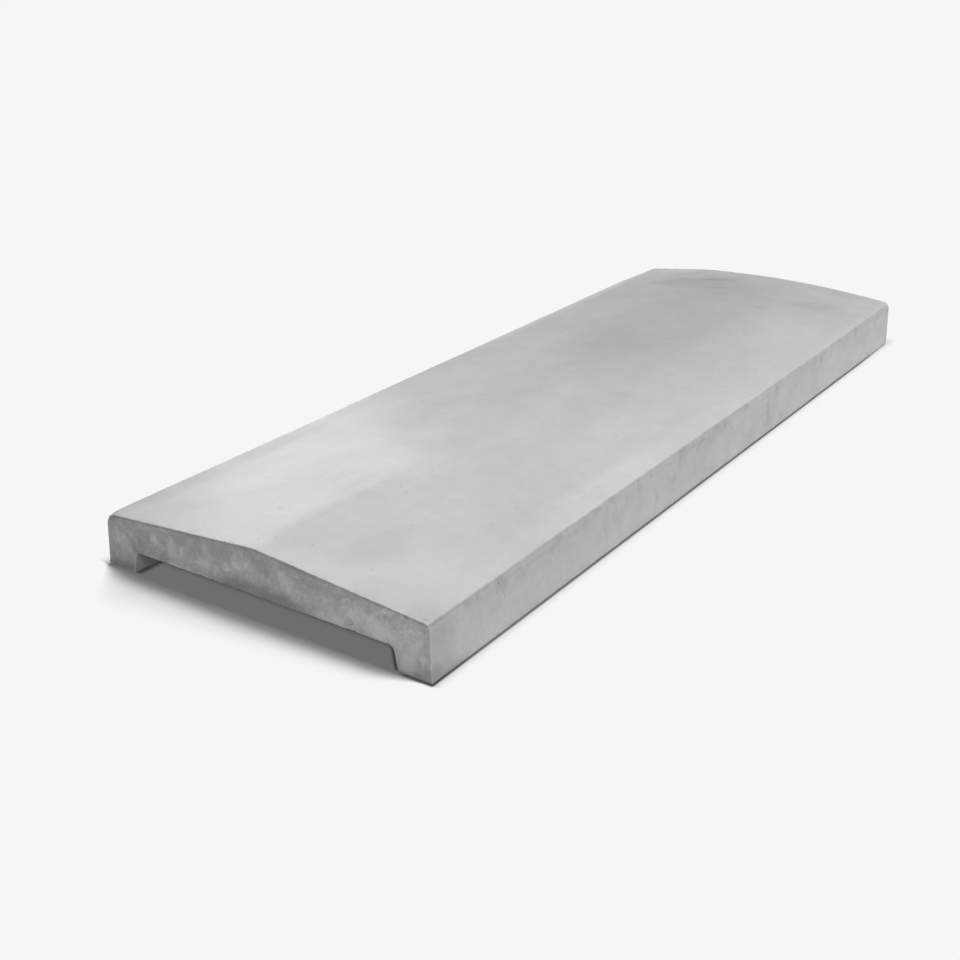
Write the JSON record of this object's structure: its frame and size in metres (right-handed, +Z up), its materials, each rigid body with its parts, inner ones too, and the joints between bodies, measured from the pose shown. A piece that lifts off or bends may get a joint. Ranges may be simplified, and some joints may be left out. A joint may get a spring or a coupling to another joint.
{
  "type": "concrete wall coping",
  "caption": "Twice-weathered cast concrete wall coping with a channel underneath that sits over the head of a wall, its crisp ridge flattening along the slab into a low crown.",
  "frame": {"origin": "middle of the footprint, on the plane of the two feet that the coping rests on", "axes": "+X along the wall from the ridged end to the crowned end, +Y across the wall, +Z up"},
  "size_m": [1, 0.35, 0.0655],
  "materials": {
    "concrete": "matte"
  },
  "bodies": {
    "root": {"coping": "concrete"}
  },
  "joints": []
}
